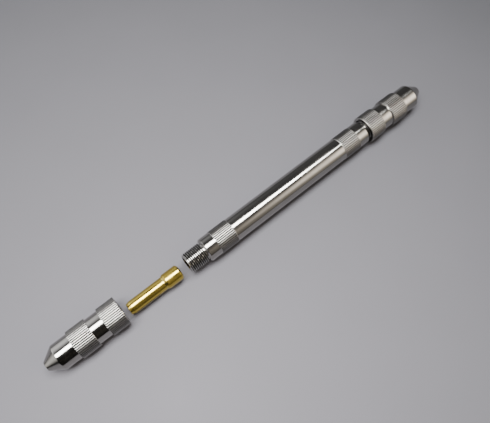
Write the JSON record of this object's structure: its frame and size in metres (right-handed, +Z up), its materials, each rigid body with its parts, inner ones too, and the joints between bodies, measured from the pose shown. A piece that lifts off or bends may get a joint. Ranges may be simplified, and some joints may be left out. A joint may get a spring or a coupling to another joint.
{
  "type": "bookbinding awl handle",
  "caption": "Double-ended awl handle with knurled grips, knurled screw caps and split brass collets, laid out with its front chuck taken apart.",
  "frame": {"origin": "middle of everything that lies on the table, at table height, so that z = 0 is the table", "axes": "+X along the handle towards the closed rear chuck, +Y across it towards the side on which the loose front cap lies, +Z up"},
  "size_m": [0.1768, 0.0124, 0.0113],
  "materials": {
    "handle_steel": "satin turned, nickel-like, with bright knurled bands",
    "cap_steel": "satin turned, nickel-like, with bright knurled bands",
    "collet_brass": "bright turned brass"
  },
  "bodies": {
    "handle": {"handle": "handle_steel"},
    "front_cap": {"front_cap": "cap_steel"},
    "front_collet": {"front_collet": "collet_brass"},
    "rear_collet": {"rear_collet": "collet_brass"},
    "rear_cap": {"rear_cap": "cap_steel"}
  },
  "joints": [
    {"name": "front_cap_slide", "type": "slide", "parent": "handle", "child": "front_cap", "axis": [0.9994, -0.0349, 0], "range_m": [0, 0.03442]},
    {"name": "front_collet_slide", "type": "slide", "parent": "handle", "child": "front_collet", "axis": [0.9355, 0, 0.3532], "range_m": [0, 0.00439]},
    {"name": "rear_collet_slide", "type": "slide", "parent": "handle", "child": "rear_collet", "axis": [1, 0, 0], "range_m": [0, 0.00675]},
    {"name": "rear_cap_turn", "type": "hinge", "parent": "rear_collet", "child": "rear_cap", "pos_m": [0.05808, -0.0006, 0.00565], "axis": [1, 0, 0], "range_deg": [0, 3240]}
  ],
  "couplings": [
    {"joint": "front_collet_slide", "follows": "front_cap_slide", "ratio": 0.12748},
    {"joint": "rear_collet_slide", "follows": "rear_cap_turn", "m_per_rad": 0.00011937}
  ]
}
